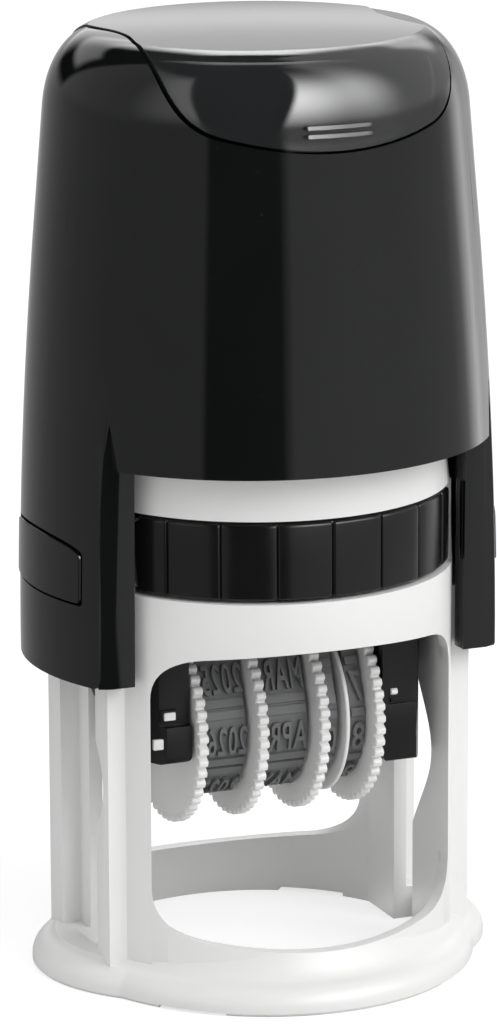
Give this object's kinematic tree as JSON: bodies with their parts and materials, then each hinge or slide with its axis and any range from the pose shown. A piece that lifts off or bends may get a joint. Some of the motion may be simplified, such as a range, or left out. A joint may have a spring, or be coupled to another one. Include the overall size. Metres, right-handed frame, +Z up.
{
  "type": "self-inking date stamp",
  "caption": "Round self-inking date stamp: press-down cap with side arms, open slotted frame, turning die carriage with thumb-wheel date bands, slide-out ink cassette and index window.",
  "frame": {"origin": "centre of the underside of the foot ring, on the surface the stamp stands on", "axes": "+Z up through the cap, -Y to the front where the ink cassette's ribbed grip shows, +X to the right arm seen from the front"},
  "size_m": [0.0474, 0.0454, 0.0935],
  "materials": {
    "white_plastic": "satin moulded white, slightly cool",
    "black_plastic": "glossy moulded black",
    "grey_rubber": "matt dark-grey rubber with raised mirrored characters",
    "smoky_clear": "glossy smoky clear moulding",
    "steel": "plain drawn steel",
    "ink_foam": "felt soaked with black ink",
    "card": "blank light-grey card"
  },
  "bodies": {
    "frame": {"base_frame": "white_plastic", "main_spring": "steel"},
    "cap": {"outer_cap": "black_plastic", "index_card": "card"},
    "window": {"index_window": "smoky_clear"},
    "button_left": {"lock_button_left": "black_plastic"},
    "button_right": {"lock_button_right": "black_plastic"},
    "pad": {"pad_cassette": "black_plastic", "ink_pad": "ink_foam"},
    "carriage": {"carriage": "black_plastic", "die_plate": "black_plastic", "rubber_die": "grey_rubber", "band_bridge": "black_plastic", "band_axle": "steel", "separator_disc": "white_plastic", "band_year": "grey_rubber", "band_month": "grey_rubber", "band_day_tens": "grey_rubber", "band_day_units": "grey_rubber"},
    "wheel_year": {"spool_year": "white_plastic"},
    "wheel_month": {"spool_month": "white_plastic"},
    "wheel_day_tens": {"spool_day_tens": "white_plastic"},
    "wheel_day_units": {"spool_day_units": "white_plastic"}
  },
  "joints": [
    {"name": "press", "type": "slide", "parent": "frame", "child": "cap", "axis": [0, 0, 1], "range_m": [-0.028, 0], "stiffness_N_per_m": 300, "springref_m": 0.015, "deforming": ["main_spring"]},
    {"name": "carriage_flip", "type": "hinge", "parent": "cap", "child": "carriage", "pos_m": [0, 0, 0.0343], "axis": [1, 0, 0], "range_deg": [-180, 0]},
    {"name": "pad_slide", "type": "slide", "parent": "frame", "child": "pad", "axis": [0, -1, 0], "range_m": [0, 0.038]},
    {"name": "window_lift", "type": "slide", "parent": "cap", "child": "window", "axis": [0, 0, 1], "range_m": [0, 0.012]},
    {"name": "lock_left", "type": "slide", "parent": "cap", "child": "button_left", "axis": [1, 0, 0], "range_m": [0, 0.001], "stiffness_N_per_m": 400, "springref_m": -0.001},
    {"name": "lock_right", "type": "slide", "parent": "cap", "child": "button_right", "axis": [-1, 0, 0], "range_m": [0, 0.001], "stiffness_N_per_m": 400, "springref_m": -0.001},
    {"name": "turn_year", "type": "hinge", "parent": "carriage", "child": "wheel_year", "pos_m": [0, 0, 0.0245], "axis": [1, 0, 0], "continuous": true},
    {"name": "turn_month", "type": "hinge", "parent": "carriage", "child": "wheel_month", "pos_m": [0, 0, 0.0245], "axis": [1, 0, 0], "continuous": true},
    {"name": "turn_day_tens", "type": "hinge", "parent": "carriage", "child": "wheel_day_tens", "pos_m": [0, 0, 0.0245], "axis": [1, 0, 0], "continuous": true},
    {"name": "turn_day_units", "type": "hinge", "parent": "carriage", "child": "wheel_day_units", "pos_m": [0, 0, 0.0245], "axis": [1, 0, 0], "continuous": true}
  ],
  "couplings": [
    {"joint": "carriage_flip", "follows": "press", "rad_per_m": 112.19}
  ]
}
